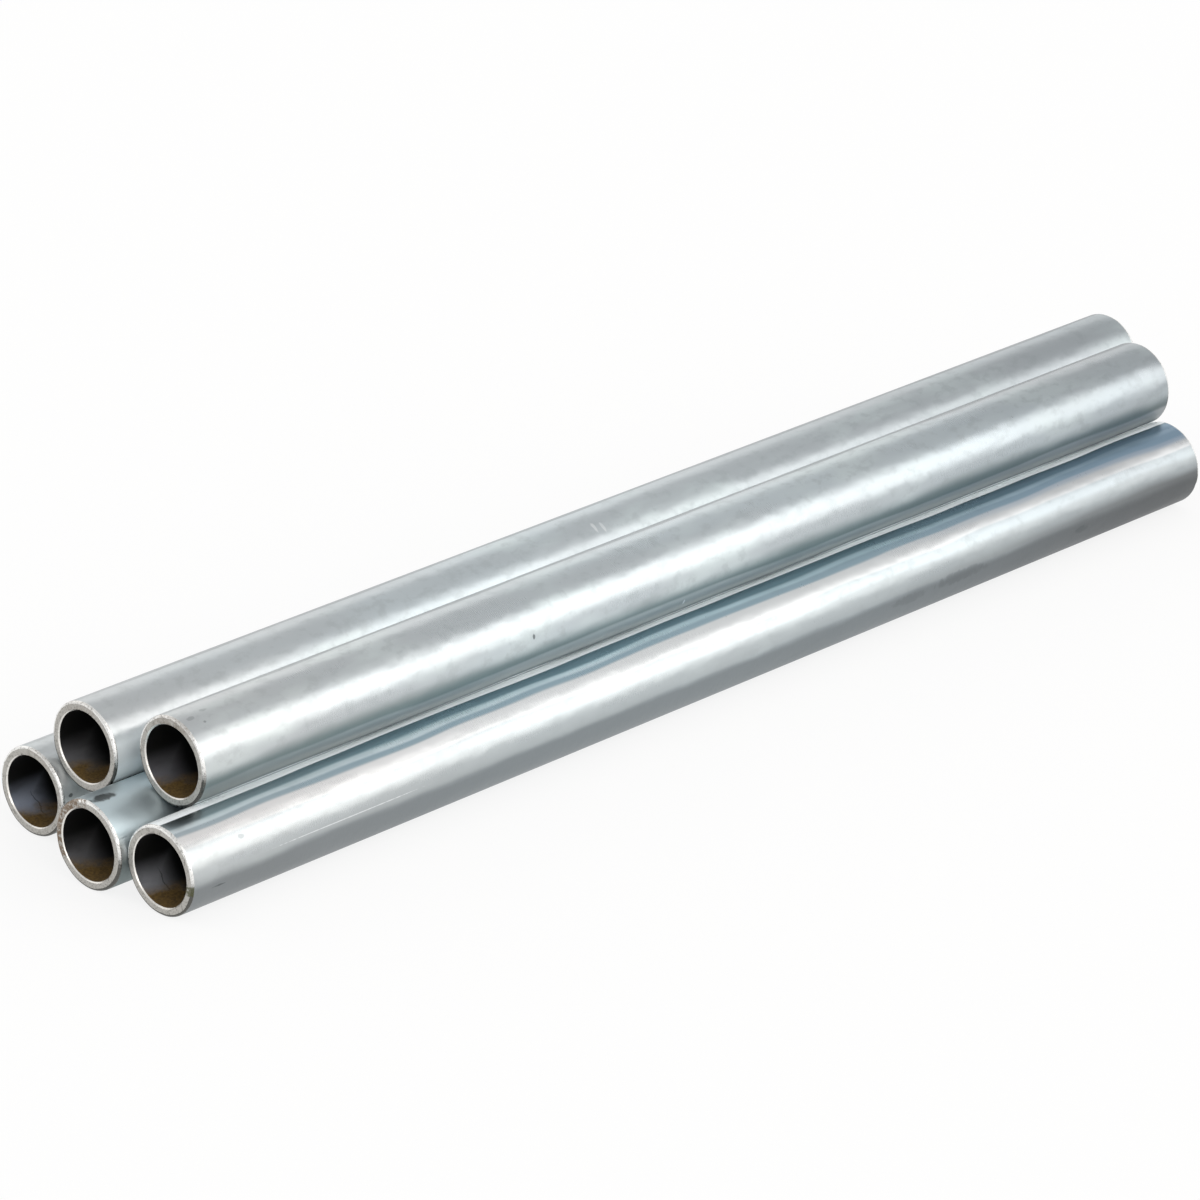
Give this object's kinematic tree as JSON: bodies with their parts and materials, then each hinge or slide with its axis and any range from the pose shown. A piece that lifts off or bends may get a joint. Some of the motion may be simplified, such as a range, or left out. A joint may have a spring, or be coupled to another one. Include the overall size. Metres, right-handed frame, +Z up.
{
  "type": "stack of steel tubes",
  "caption": "Loose stack of straight round zinc-plated steel tubes with open bores, lying in two layers with their sawn ends staggered.",
  "frame": {"origin": "on the floor, under the middle of the outer box of the whole stack", "axes": "+Z up, +X along the tubes from the ends seen in the picture to the far ends, +Y from the front tube to the back tube"},
  "size_m": [0.5454, 0.1094, 0.0593],
  "materials": {
    "zinc_plated_steel": "bright zinc plating, satin"
  },
  "bodies": {
    "root": {"bottom_tube_back": "zinc_plated_steel", "bottom_tube_middle": "zinc_plated_steel", "bottom_tube_front": "zinc_plated_steel", "top_tube_back": "zinc_plated_steel", "top_tube_front": "zinc_plated_steel"}
  },
  "joints": []
}
